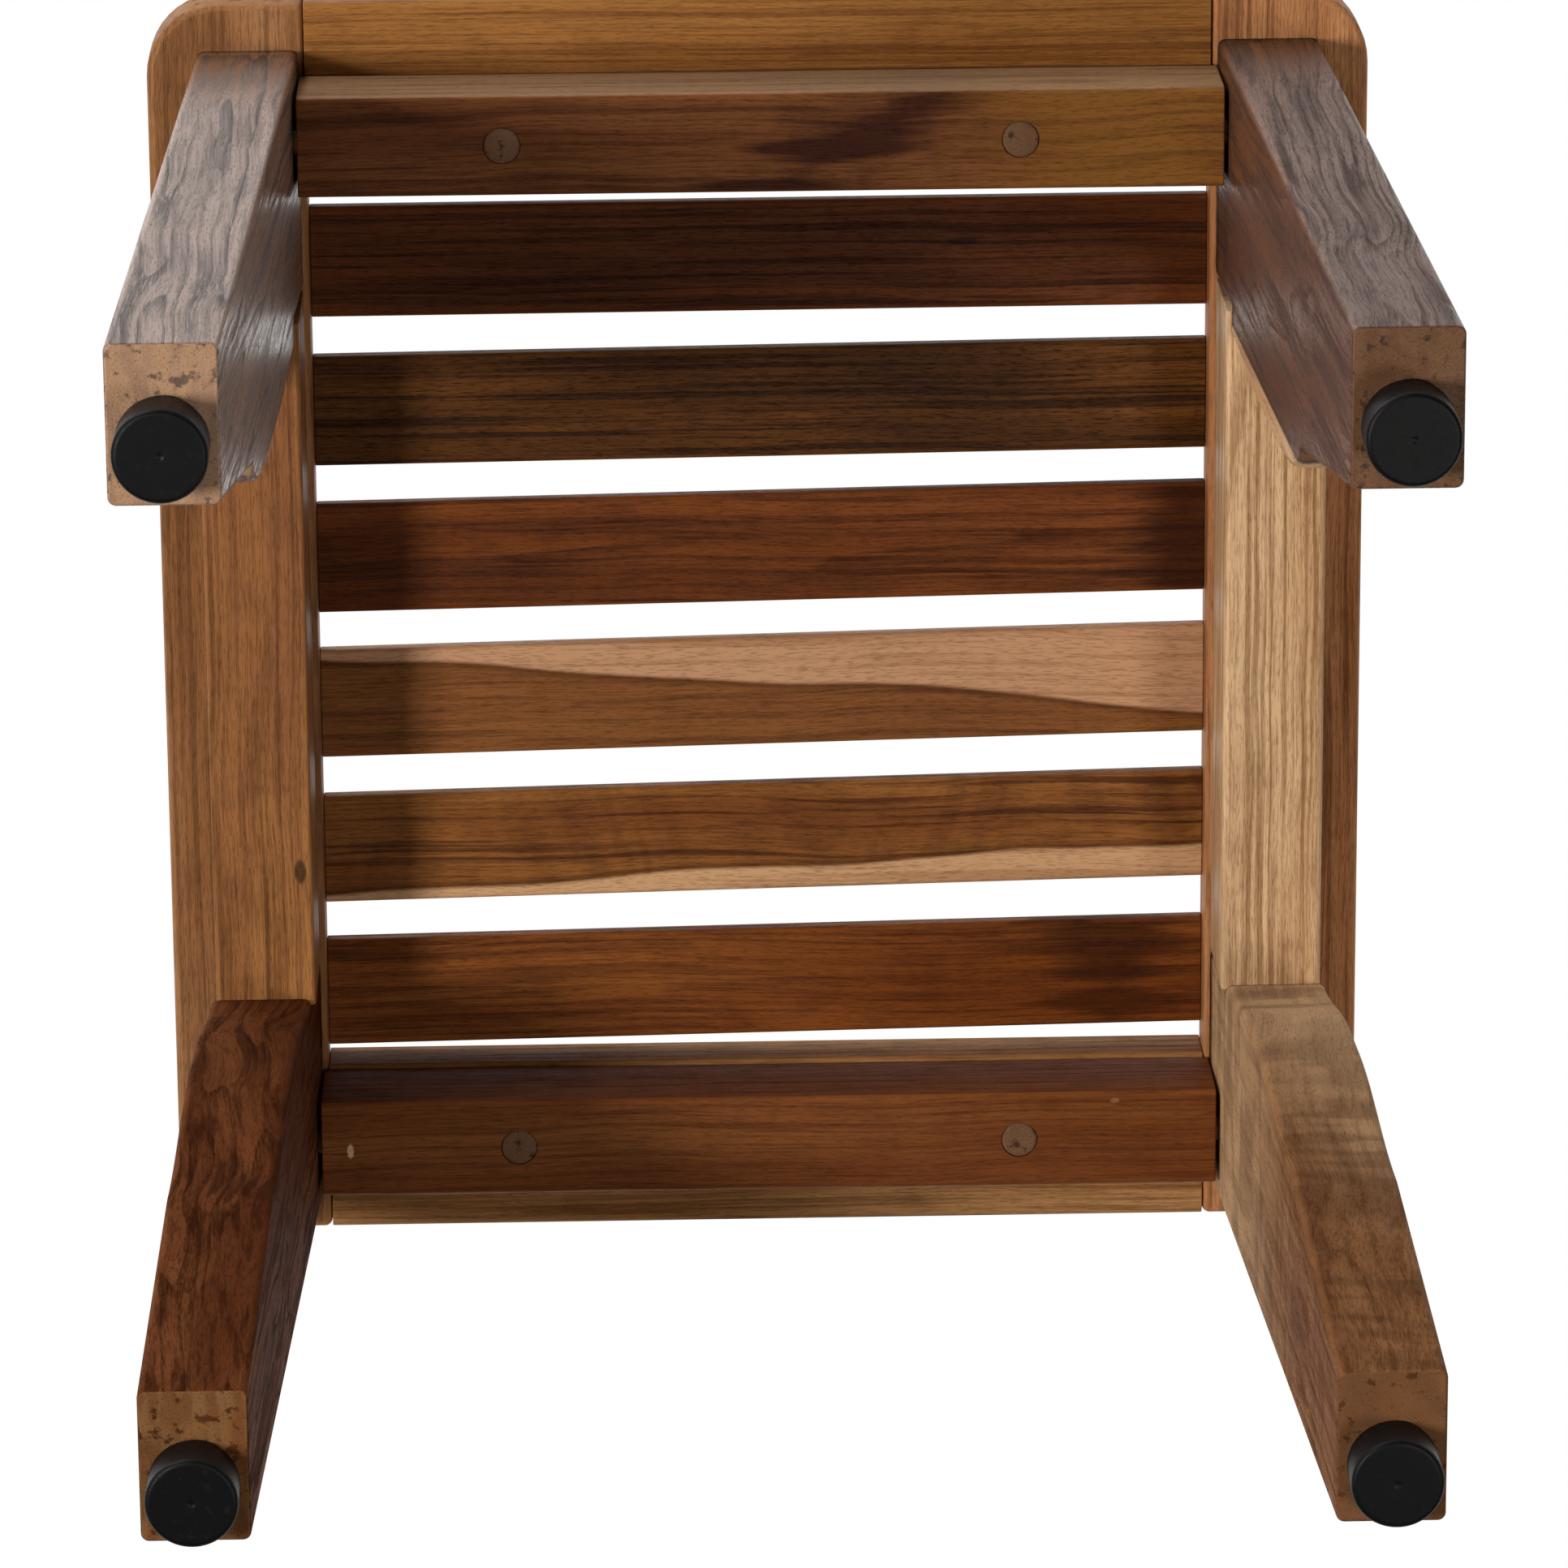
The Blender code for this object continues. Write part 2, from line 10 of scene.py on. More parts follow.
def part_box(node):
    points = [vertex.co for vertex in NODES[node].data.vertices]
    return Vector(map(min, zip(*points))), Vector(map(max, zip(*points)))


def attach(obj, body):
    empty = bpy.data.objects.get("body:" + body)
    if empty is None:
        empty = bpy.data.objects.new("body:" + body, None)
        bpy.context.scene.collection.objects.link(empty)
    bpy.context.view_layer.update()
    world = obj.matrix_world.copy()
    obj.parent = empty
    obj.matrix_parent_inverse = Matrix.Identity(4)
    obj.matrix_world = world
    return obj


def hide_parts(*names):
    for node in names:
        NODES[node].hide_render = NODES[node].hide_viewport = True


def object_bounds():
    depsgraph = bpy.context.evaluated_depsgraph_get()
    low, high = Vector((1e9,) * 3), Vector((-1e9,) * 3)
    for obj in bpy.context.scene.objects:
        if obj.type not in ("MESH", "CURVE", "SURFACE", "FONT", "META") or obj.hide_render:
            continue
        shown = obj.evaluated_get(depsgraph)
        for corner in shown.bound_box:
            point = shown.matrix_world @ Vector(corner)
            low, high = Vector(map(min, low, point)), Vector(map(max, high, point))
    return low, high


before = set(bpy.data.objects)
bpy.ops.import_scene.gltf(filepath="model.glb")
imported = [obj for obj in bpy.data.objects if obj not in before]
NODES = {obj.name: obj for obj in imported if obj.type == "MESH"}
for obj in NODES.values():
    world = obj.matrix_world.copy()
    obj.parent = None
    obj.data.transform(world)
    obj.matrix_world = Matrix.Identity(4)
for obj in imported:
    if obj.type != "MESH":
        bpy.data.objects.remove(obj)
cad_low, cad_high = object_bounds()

scene = bpy.context.scene
STOOL = "stool"
CORNERS = ("front_left", "front_right", "rear_left", "rear_right")

# ---------------------------------------------------------------- shape sizes

# Sizes are in metres. An EDGE is the radius of a rounded edge along a board.
BOARD_EDGE = 0.0026
SLAT_EDGE = 0.0015
SLAT_TOP_EDGE = 0.0055
APRON_EDGE = 0.0018
LEG_EDGE = 0.0025
PAD_EDGE = 0.0016
# An END_ROUNDING is the radius at the two ends of a board.
CROSS_BOARD_END_ROUNDING = 0.0004
END_APRON_END_ROUNDING = 0.0006
SIDE_APRON_END_ROUNDING = 0.0005
LEG_END_ROUNDING = 0.0011
JOINT_GAP = 0.00012
SEAT_CORNER_RADIUS = 0.024
PLUG_CLEARANCE = 0.00012
PLUG_SOCKET_DEPTH = 0.0016
STUD_HOLE_RADIUS = 0.0041
STUD_HOLE_DEPTH = 0.009
STUD_HOLE_BEVEL = 0.0006

ARC_STEPS = 5
CORNER_STEPS = 10
PLUG_SIDES = 56
PAD_SIDES = 72

# The direction along a board, then the two directions across it.
AXIS_ORDER = {"x": (0, 1, 2), "y": (1, 0, 2), "z": (2, 0, 1)}


# ---------------------------------------------------------------- mesh helpers

def finish_mesh(bm, name, wear=None):
    """Make an object of a bmesh, smooth shaded, with an edge-wear attribute if given."""
    bmesh.ops.recalc_face_normals(bm, faces=bm.faces)
    mesh = bpy.data.meshes.new(name)
    if wear is not None:
        bm.verts.index_update()
        values = [wear.get(vert, 0.0) for vert in bm.verts]
    bm.to_mesh(mesh)
    bm.free()
    if wear is not None:
        attribute = mesh.attributes.new("wear", "FLOAT", "POINT")
        attribute.data.foreach_set("value", values)
    mesh.shade_smooth()
    obj = bpy.data.objects.new(name, mesh)
    scene.collection.objects.link(obj)
    shade_evenly(obj)
    return obj


def shade_evenly(obj):
    """Keep the flat faces flat and the rounded edges round."""
    weighted = obj.modifiers.new("even_shading", "WEIGHTED_NORMAL")
    weighted.weight = 60
    weighted.keep_sharp = True


def rounded_section(a0, a1, b0, b1, low_radius, high_radius):
    """Points (a, b, wear) of a rectangle with rounded corners, anticlockwise.

    The two corners at b1 take the high radius.
    """
    points = []
    corners = ((a1, b1, 0), (a0, b1, 1), (a0, b0, 2), (a1, b0, 3))
    for a, b, quarter in corners:
        radius = high_radius if quarter < 2 else low_radius
        centre_a = a - radius if quarter in (0, 3) else a + radius
        centre_b = b - radius if quarter in (0, 1) else b + radius
        for step in range(ARC_STEPS + 1):
            angle = math.pi / 2 * (quarter + step / ARC_STEPS)
            point_a = centre_a + radius * math.cos(angle)
            point_b = centre_b + radius * math.sin(angle)
            points.append((point_a, point_b, math.sin(math.pi * step / ARC_STEPS)))
    return points


def sweep(name, stations, axis):
    """Loft rounded rectangles along an axis.

    A station is (t, a0, a1, b0, b1, low radius, high radius).
    """
    order = AXIS_ORDER[axis]
    bm = bmesh.new()
    wear = {}
    loops = []
    for t, a0, a1, b0, b1, low_radius, high_radius in stations:
        loop = []
        for a, b, amount in rounded_section(a0, a1, b0, b1, low_radius, high_radius):
            place = [0.0, 0.0, 0.0]
            place[order[0]], place[order[1]], place[order[2]] = t, a, b
            vert = bm.verts.new(place)
            wear[vert] = amount
            loop.append(vert)
        loops.append(loop)
    for near, far in zip(loops, loops[1:]):
        for i, vert in enumerate(near):
            j = (i + 1) % len(near)
            bm.faces.new((vert, near[j], far[j], far[i]))
    bm.faces.new(loops[0])
    bm.faces.new(loops[-1])
    return finish_mesh(bm, name, wear)


def end_rounding(radius):
    """(distance from the end, inset) pairs that round off the end of a board."""
    turns = [math.pi / 2 * step / ARC_STEPS for step in range(ARC_STEPS + 1)]
    return [(radius * (1 - math.sin(turn)), 0.8 * radius * (1 - math.cos(turn))) for turn in turns]


def straight_board(name, low, high, axis, radius, end_radius, top_radius=None):
    """A straight board along an axis, every edge rounded."""
    middle_stations = 8
    top_radius = top_radius or radius
    order = AXIS_ORDER[axis]
    start, end = low[order[0]], high[order[0]]
    a0, a1 = low[order[1]], high[order[1]]
    b0, b1 = low[order[2]], high[order[2]]

    def station(t, inset):
        return (t, a0 + inset, a1 - inset, b0 + inset, b1 - inset,
                max(radius - inset, 0.15 * radius), max(top_radius - inset, 0.15 * top_radius))

    rounding = end_rounding(end_radius)
    stations = [station(start + along, inset) for along, inset in reversed(rounding)]
    stations.sort(key=lambda s: s[0])
    for step in range(1, middle_stations):
        stations.append(station(start + (end - start) * step / middle_stations, 0))
    closing = [station(end - along, inset) for along, inset in rounding]
    closing.sort(key=lambda s: s[0])
    return sweep(name, stations + closing, axis)


def turned(name, profile, centre, sides):
    """Turn a closed outline of (radius, height) points, both ends on the axis, round +Z."""
    bm = bmesh.new()
    rings = []
    for radius, height in profile:
        if radius == 0:
            rings.append([bm.verts.new((centre[0], centre[1], centre[2] + height))])
            continue
        ring = []
        for i in range(sides):
            angle = 2 * math.pi * i / sides
            ring.append(bm.verts.new((centre[0] + radius * math.cos(angle),
                                      centre[1] + radius * math.sin(angle), centre[2] + height)))
        rings.append(ring)
    for near, far in zip(rings, rings[1:]):
        for i in range(sides):
            j = (i + 1) % sides
            corners = (near[i % len(near)], near[j % len(near)], far[j % len(far)], far[i % len(far)])
            bm.faces.new(tuple(dict.fromkeys(corners)))
    return finish_mesh(bm, name)


# ---------------------------------------------------------------- node helpers

def linear(hex_color, gain=1.0):
    """Linear colour of a display colour such as #7c4e28."""
    values = [int(hex_color[i:i + 2], 16) / 255 for i in (1, 3, 5)]
    parts = [v / 12.92 if v <= 0.04045 else ((v + 0.055) / 1.055) ** 2.4 for v in values]
    return (*[min(part * gain, 1.0) for part in parts], 1.0)


class Graph:
    """Short ways to add and link shader nodes."""

    def __init__(self, name):
        self.material = bpy.data.materials.new(name)
        self.material.use_nodes = True
        self.tree = self.material.node_tree
        self.shader = self.tree.nodes["Principled BSDF"]

    def node(self, kind, **settings):
        made = self.tree.nodes.new(kind)
        for key, value in settings.items():
            setattr(made, key, value)
        return made

    def link(self, source, target):
        if isinstance(source, (int, float, tuple)):
            target.default_value = source
        else:
            self.tree.links.new(source, target)

    def math(self, operation, a, b=0.0, clamp=False):
        made = self.node("ShaderNodeMath", operation=operation, use_clamp=clamp)
        self.link(a, made.inputs[0])
        self.link(b, made.inputs[1])
        return made.outputs[0]

    def times(self, a, b):
        return self.math("MULTIPLY", a, b)

    def plus(self, a, b):
        return self.math("ADD", a, b)

    def minus(self, a, b):
        return self.math("SUBTRACT", a, b)

    def combine(self, x, y, z):
        made = self.node("ShaderNodeCombineXYZ")
        for value, socket in zip((x, y, z), made.inputs):
            self.link(value, socket)
        return made.outputs[0]

    def noise(self, vector, scale, detail, roughness=0.5):
        made = self.node("ShaderNodeTexNoise")
        self.link(vector, made.inputs["Vector"])
        made.inputs["Scale"].default_value = scale
        made.inputs["Detail"].default_value = detail
        made.inputs["Roughness"].default_value = roughness
        return made.outputs["Fac"]

    def ramp(self, value, low, high):
        """0 below low and 1 above high, eased between them."""
        made = self.node("ShaderNodeMapRange", interpolation_type="SMOOTHSTEP")
        self.link(value, made.inputs["Value"])
        made.inputs["From Min"].default_value = low
        made.inputs["From Max"].default_value = high
        return made.outputs["Result"]

    def mix(self, amount, a, b):
        made = self.node("ShaderNodeMix", data_type="RGBA")
        self.link(amount, made.inputs["Factor"])
        self.link(a, made.inputs["A"])
        self.link(b, made.inputs["B"])
        return made.outputs["Result"]

    def bump(self, height, distance, strength):
        made = self.node("ShaderNodeBump")
        self.link(height, made.inputs["Height"])
        made.inputs["Distance"].default_value = distance
        made.inputs["Strength"].default_value = strength
        return made.outputs["Normal"]


# ---------------------------------------------------------------- teak

class Wood(Graph):
    """The coordinates, noises and masks that all the marks of one board share."""

    def __init__(self, name, axis, seed, sway, line_density):
        super().__init__(name)
        self.seed = seed
        coordinates = self.node("ShaderNodeTexCoord")
        position = self.node("ShaderNodeSeparateXYZ")
        self.link(coordinates.outputs["Object"], position.inputs[0])
        normal = self.node("ShaderNodeSeparateXYZ")
        self.link(coordinates.outputs["Normal"], normal.inputs[0])
        order = AXIS_ORDER[axis]
        self.along, self.across, self.deep = [position.outputs[i] for i in order]
        self.place_y = position.outputs[1]
        self.facing_y = normal.outputs[1]
        self.end_facing = self.math("ABSOLUTE", normal.outputs[order[0]])

        # The grain wanders slowly from side to side along the board.
        slow = self.combine(self.times(self.along, 9.0), self.times(self.across, 6.0), seed * 3.1)
        self.wander = self.minus(self.noise(slow, 1.0, 1.5), 0.5)
        offset = self.times(self.wander, sway * 2)
        self.across_bent = self.plus(self.across, offset)
        self.deep_bent = self.plus(self.deep, self.times(offset, 0.5))

        self.broad = self.noise(self.stretched(3.0, 42.0, 1.0), 1.0, 2.0, 0.55)
        self.lines = self.noise(self.stretched(5.0, 420.0 * line_density, 2.0), 1.0, 2.5, 0.62)
        self.fine = self.noise(self.stretched(30.0, 1500.0, 3.0), 1.0, 2.0, 0.6)
        self.pores = self.noise(self.stretched(210.0, 3000.0, 4.0), 1.0, 1.0, 0.5)
        self.mottle = self.noise(self.stretched(55.0, 70.0, 5.0), 1.0, 2.0, 0.5)
        self.line_mask = self.ramp(self.lines, 0.48, 0.64)
        self.fine_mask = self.ramp(self.fine, 0.46, 0.66)
        self.pore_mask = self.ramp(self.pores, 0.58, 0.66)
        self.broad_mask = self.ramp(self.broad, 0.36, 0.64)

    def stretched(self, along_scale, across_scale, shift):
        """A noise position that is drawn out along the grain."""
        return self.combine(
            self.plus(self.times(self.along, along_scale), self.seed * 7.3 + shift),
            self.times(self.across_bent, across_scale),
            self.times(self.deep_bent, across_scale))


def add_arches(g, color, dark, strength, count):
    """Thin dark growth lines in long arches. Gives the colour and the mask of the lines."""
    layers = g.noise(g.stretched(1.7, 52.0, 13.0), 1.0, 1.2, 0.45)
    layers = g.plus(layers, g.times(g.minus(g.mottle, 0.5), 0.013))
    phase = g.math("FRACT", g.times(layers, count))
    mask = g.minus(g.ramp(phase, 0.10, 0.92), g.ramp(phase, 0.92, 1.0))
    mask = g.times(g.math("POWER", mask, 3.0), g.ramp(g.broad, 0.30, 0.52))
    mask = g.times(mask, g.ramp(g.fine, 0.28, 0.46))
    return g.mix(g.times(mask, strength), color, linear(dark, 0.9)), mask


def add_zone(g, color, dark, line_strength, zone):
    """A stretch of the board in another tone, with ragged edges: wood colour on most boards, painted
    shade at the end of the third slat and painted light on the rear right leg.
    """
    middle, reach, zone_color, strength, slant = zone
    slanted = g.plus(g.along, g.times(g.across, slant))
    distance = g.math("ABSOLUTE", g.minus(slanted, middle))
    fingers = g.noise(g.stretched(9.0, 190.0, 11.0), 1.0, 2.0, 0.6)
    ragged = g.plus(distance, g.times(g.minus(fingers, 0.5), min(reach * 3.4, 0.09)))
    inside = g.minus(1.0, g.ramp(ragged, reach * 0.2, reach * 1.1))
    grained = g.mix(g.times(g.line_mask, line_strength * 0.6), linear(zone_color), linear(dark))
    return g.mix(g.times(inside, strength), color, grained)


def add_figure(g, color, dark, strength, place):
    """Curly figure: short waves across the grain, over the whole board or around a place."""
    wave_vector = g.combine(
        g.plus(g.times(g.along, 95.0), g.times(g.wander, 14.0)),
        g.times(g.across, 24.0), g.times(g.deep, 24.0))
    waves = g.ramp(g.noise(wave_vector, 1.0, 1.0), 0.42, 0.66)
    amount = g.times(waves, strength)
    if place is not None:
        middle, spread = place
        distance = g.math("ABSOLUTE", g.minus(g.along, middle))
        amount = g.times(amount, g.minus(1.0, g.ramp(distance, spread * 0.4, spread)))
    return g.mix(amount, color, linear(dark, 0.75))


def add_streaks(g, color, dark, strength):
    """Long dark mineral streaks."""
    streak = g.ramp(g.noise(g.stretched(4.0, 120.0, 9.0), 1.0, 1.0), 0.60, 0.68)
    return g.mix(g.times(streak, strength), color, linear(dark, 0.45))


def add_sap(g, color, base, dark, sap):
    """Pale outer wood past an edge, with a thin darker rim before it."""
    edge, slope, side, sap_color, sap_wander = sap
    moved = g.plus(g.place_y, g.times(g.wander, sap_wander))
    moved = g.minus(moved, g.times(g.along, slope))
    past = g.times(g.minus(moved, edge), float(side))
    mask = g.ramp(past, -0.0006, 0.0012)
    rim = g.times(g.ramp(past, -0.0030, -0.0004), g.minus(1.0, mask))
    grained = g.mix(g.times(g.line_mask, 0.35), linear(sap_color), linear(base))
    color = g.mix(g.times(rim, 0.55), color, linear(dark, 0.8))
    return g.mix(mask, color, grained)


def add_mark(g, color, mark):
    """A knot or a filled chip."""
    mark_along, mark_across, length, width, mark_color, strength = mark
    far_along = g.math("DIVIDE", g.minus(g.along, mark_along), length)
    far_across = g.math("DIVIDE", g.minus(g.across, mark_across), width)
    far = g.plus(g.times(far_along, far_along), g.times(far_across, far_across))
    far = g.plus(far, g.times(g.minus(g.fine, 0.5), 1.2))
    spot = g.minus(1.0, g.ramp(far, 0.5, 1.3))
    return g.mix(g.times(spot, strength), color, linear(mark_color))


def add_front_sheen(g, color, base, front_sheen):
    """Painted sheen: a paler, greyer tone on the faces towards the front, in place of the reflection of
    the bright studio.
    """
    sheen_color, strength = front_sheen
    fronting = g.ramp(g.times(g.facing_y, -1.0), 0.60, 0.90)
    grained = g.mix(g.times(g.line_mask, 0.45), linear(sheen_color), linear(base))
    return g.mix(g.times(fronting, strength), color, grained)


def end_grain_color(g, base, dark, end):
    """End grain: growth rings, open vessels and stains instead of long lines."""
    ring_vector = g.combine(g.times(g.across_bent, 210.0), g.times(g.deep_bent, 60.0), g.seed)
    rings = g.ramp(g.noise(ring_vector, 1.0, 1.5), 0.42, 0.62)
    vessel_vector = g.combine(g.times(g.across, 1500.0), g.times(g.deep, 1500.0), g.seed)
    vessels = g.ramp(g.noise(vessel_vector, 1.0, 1.0), 0.60, 0.68)
    color = g.mix(g.times(rings, 0.45), linear(end), linear(base))
    color = g.mix(g.times(vessels, 0.5), color, linear(dark))
    stain_vector = g.combine(g.times(g.across, 170.0), g.times(g.deep, 170.0), g.seed + 5.0)
    stains = g.noise(stain_vector, 1.0, 3.0, 0.65)
    stained = g.times(g.ramp(stains, 0.55, 0.64), 0.8)
    return g.mix(stained, color, linear(dark, 0.8))


def teak(name, axis, base, dark, light, seed, line_density=1.0, line_strength=0.75, sway=0.004,
         figure=0.0, figure_place=None, sap=None, end=None, streaks=0.0, zones=(), gloss=0.12,
         roughness=0.42, pore_strength=0.30, arches=0.0, arch_count=9.0, front_sheen=None, marks=()):
    """Oiled teak whose grain runs along an axis.

    sap is (edge, slope, side, color, wander): the pale outer wood past a slanting edge in y.
    figure adds cross-grain waves, over the whole board or around figure_place along it.
    A zone is (middle, reach, color, strength, slant): a stretch of the board in another tone, wood
    colour on most boards, painted shade at the end of the third slat and painted light on the rear
    right leg.
    arches is the strength of the thin dark growth lines that run in long arches.
    The sheen on the front faces is (color, strength): painted sheen, a paler tone on the faces towards
    the front.
    A mark is (along, across, half length, half width, color, strength): a knot or a filled chip.
    """
    g = Wood(name, axis, seed, sway, line_density)
    color = g.mix(g.broad_mask, linear(base), linear(light))
    color = g.mix(g.times(g.ramp(g.mottle, 0.45, 0.8), 0.28), color, linear(dark))
    color = g.mix(g.times(g.line_mask, line_strength), color, linear(dark))
    color = g.mix(g.times(g.fine_mask, 0.42), color, linear(dark))
    height = g.times(g.fine, 0.3)

    arch_mask = 0.0
    if arches:
        color, arch_mask = add_arches(g, color, dark, arches, arch_count)
    for zone in zones:
        color = add_zone(g, color, dark, line_strength, zone)
    if figure:
        color = add_figure(g, color, dark, figure, figure_place)
    if streaks:
        color = add_streaks(g, color, dark, streaks)
    if sap is not None:
        color = add_sap(g, color, base, dark, sap)
    for mark in marks:
        color = add_mark(g, color, mark)
    # Painted sheen on the faces that look towards the front.
    if front_sheen is not None:
        color = add_front_sheen(g, color, base, front_sheen)

    end_color = end_grain_color(g, base, dark, end or light)
    end_mask = g.ramp(g.end_facing, 0.62, 0.85)
    color = g.mix(g.times(g.pore_mask, pore_strength), color, linear(dark, 0.45))
    color = g.mix(end_mask, color, end_color)

    # Handled edges are rubbed a little paler and smoother.
    wear = g.node("ShaderNodeAttribute", attribute_name="wear")
    rubbed = g.times(wear.outputs["Fac"], g.ramp(g.mottle, 0.30, 0.62))
    color = g.mix(g.times(rubbed, 0.30), color, linear(light, 1.25))
    g.link(color, g.shader.inputs["Base Color"])

    rough = g.plus(roughness, g.times(g.fine_mask, 0.10))
    rough = g.plus(rough, g.times(g.pore_mask, 0.20))
    rough = g.plus(rough, g.times(g.line_mask, 0.14))
    rough = g.plus(rough, g.times(arch_mask, 0.20))
    rough = g.plus(rough, g.times(g.minus(g.mottle, 0.5), 0.12))
    rough = g.plus(rough, g.times(end_mask, 0.15))
    rough = g.math("SUBTRACT", rough, g.times(rubbed, 0.06), clamp=True)
    g.link(rough, g.shader.inputs["Roughness"])
    g.shader.inputs["IOR"].default_value = 1.48
    g.shader.inputs["Specular IOR Level"].default_value = gloss

    pitted = g.minus(height, g.times(g.pore_mask, 0.8))
    pitted = g.minus(pitted, g.times(g.line_mask, 0.25))
    g.link(g.bump(pitted, 0.00013, 0.8), g.shader.inputs["Normal"])
    return g.material


def paint(obj, material):
    obj.data.materials.clear()
    obj.data.materials.append(material)


# ---------------------------------------------------------------- boards


def add_piece(obj, nodes, body, material):
    paint(obj, material)
    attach(obj, body)
    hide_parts(*nodes)
    return obj


left_inner_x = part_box("side_board_left")[1].x
right_inner_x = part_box("side_board_right")[0].x


def make_cross_board(node, edge, material, lean=0.0, drift=0.0, top_edge=None):
    """A slat or an end board between the side boards.

    lean swings its right end towards the front, and drift moves it towards the rear.
    """
    low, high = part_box(node)
    low.x = left_inner_x + JOINT_GAP
    high.x = right_inner_x - JOINT_GAP
    obj = straight_board(node + "_board", low, high, "x", edge, CROSS_BOARD_END_ROUNDING, top_edge)
    for vert in obj.data.vertices:
        vert.co.y += drift - lean * vert.co.x
    return add_piece(obj, [node], STOOL, material)


def make_side_board(node, material):
    """A full-length side board of the seat, with its two outer corners rounded."""
    low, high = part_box(node)
    outer = -1 if low.x < 0 else 1
    inner_x = high.x if outer < 0 else low.x
    outer_x = low.x if outer < 0 else high.x
    outline = [(inner_x, low.y), (inner_x, high.y)]
    for end in (1, -1):
        for step in range(CORNER_STEPS + 1):
            turn = step if end > 0 else CORNER_STEPS - step
            angle = math.pi / 2 * (1 - turn / CORNER_STEPS)
            x = outer_x - outer * SEAT_CORNER_RADIUS * (1 - math.cos(angle))
            y_edge = high.y if end > 0 else low.y
            y = y_edge - end * SEAT_CORNER_RADIUS * (1 - math.sin(angle))
            outline.append((x, y))
    bm = bmesh.new()
    lower = [bm.verts.new((x, y, low.z)) for x, y in outline]
    upper = [bm.verts.new((x, y, high.z)) for x, y in outline]
    bm.faces.new(lower)
    bm.faces.new(upper)
    for i, vert in enumerate(lower):
        j = (i + 1) % len(lower)
        bm.faces.new((vert, lower[j], upper[j], upper[i]))
    bmesh.ops.recalc_face_normals(bm, faces=bm.faces)
    sharp = [edge for edge in bm.edges if edge.calc_face_angle(0) > math.radians(30)]
    bmesh.ops.bevel(bm, geom=sharp, offset=BOARD_EDGE, segments=ARC_STEPS, profile=0.5,
                    affect="EDGES", clamp_overlap=True)
    wear = {}
    for vert in bm.verts:
        off_top = min(abs(vert.co.z - high.z), abs(vert.co.z - low.z))
        if 0.0001 < off_top < BOARD_EDGE - 0.0001:
            wear[vert] = 1.0
    obj = finish_mesh(bm, node + "_board", wear)
    return add_piece(obj, [node], STOOL, material)


def make_slats():
    """Six slats, each with its own tone, and set a little out of square like the real ones."""
    slat_4_low, slat_4_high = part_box("slat_4")
    width = slat_4_high.y - slat_4_low.y
    slat_4_edge = slat_4_low.y + 0.42 * width
    slat_5_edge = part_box("slat_5")[0].y + 0.80 * width
    slats = (
        (0.002, 0.0, teak(
            "teak_slat_1", "x", "#53290e", "#260f04", "#733d1a", seed=5, line_strength=0.7,
            sway=0.003, marks=((0.067, -0.127, 0.0055, 0.0013, "#140602", 0.7),))),
        (0.008, 0.0, teak(
            "teak_slat_2", "x", "#54300f", "#231004", "#74461c", seed=6, line_density=1.1,
            line_strength=0.8, sway=0.003, zones=((0.06, 0.05, "#2e1908", 0.5, 0.0),),
            pore_strength=0.6)),
        (0.013, 0.0, teak(
            "teak_slat_3", "x", "#61300f", "#30150a", "#7d431a", seed=7, line_density=0.8,
            # The zone is painted shade: the right end of the slat is painted darker where the side
            # apron shades it.
            line_strength=0.5, arches=0.5, zones=((0.142, 0.022, "#2a1206", 0.7, 0.0),))),
        (0.017, 0.0, teak(
            "teak_slat_4", "x", "#82502a", "#4c2a12", "#96632f", seed=8, line_density=0.9,
            line_strength=0.5, sway=0.006, sap=(slat_4_edge, 0.085, -1, "#c29470", 0.016))),
        (0.017, 0.0012, teak(
            "teak_slat_5", "x", "#7c4820", "#3c1a08", "#95602f", seed=9, line_density=0.8,
            sway=0.006, figure=0.2, sap=(slat_5_edge, -0.050, 1, "#cda178", 0.014))),
        (0.013, 0.0026, teak(
            "teak_slat_6", "x", "#7c4118", "#3c1706", "#8d5222", seed=10, line_density=0.9,
            line_strength=0.45, arches=0.35, streaks=0.35,
            zones=((0.118, 0.026, "#2e1206", 0.65, 0.0),))),
    )
    for number, (lean, drift, material) in enumerate(slats, start=1):
        make_cross_board("slat_%d" % number, SLAT_EDGE, material, lean, drift, SLAT_TOP_EDGE)


def make_seat():
    make_side_board("side_board_left", teak(
        "teak_side_left", "y", "#95653d", "#5e3c20", "#a87850", seed=1, line_strength=0.6,
        sway=0.003))
    make_side_board("side_board_right", teak(
        "teak_side_right", "y", "#b0754a", "#6c4024", "#c48a5c", seed=2, line_strength=0.6,
        sway=0.003, gloss=0.06))
    make_cross_board("end_board_front", BOARD_EDGE, teak(
        "teak_end_front", "x", "#8d5a28", "#5c3312", "#a06c36", seed=3, line_density=1.2,
        line_strength=0.55, sway=0.002))
    make_cross_board("end_board_rear", BOARD_EDGE, teak(
        "teak_end_rear", "x", "#9a6a3e", "#5c381a", "#b8895a", seed=4, line_density=1.2,
        line_strength=0.5, sway=0.002, gloss=0.04))
    make_slats()


# ---------------------------------------------------------------- aprons and plugs

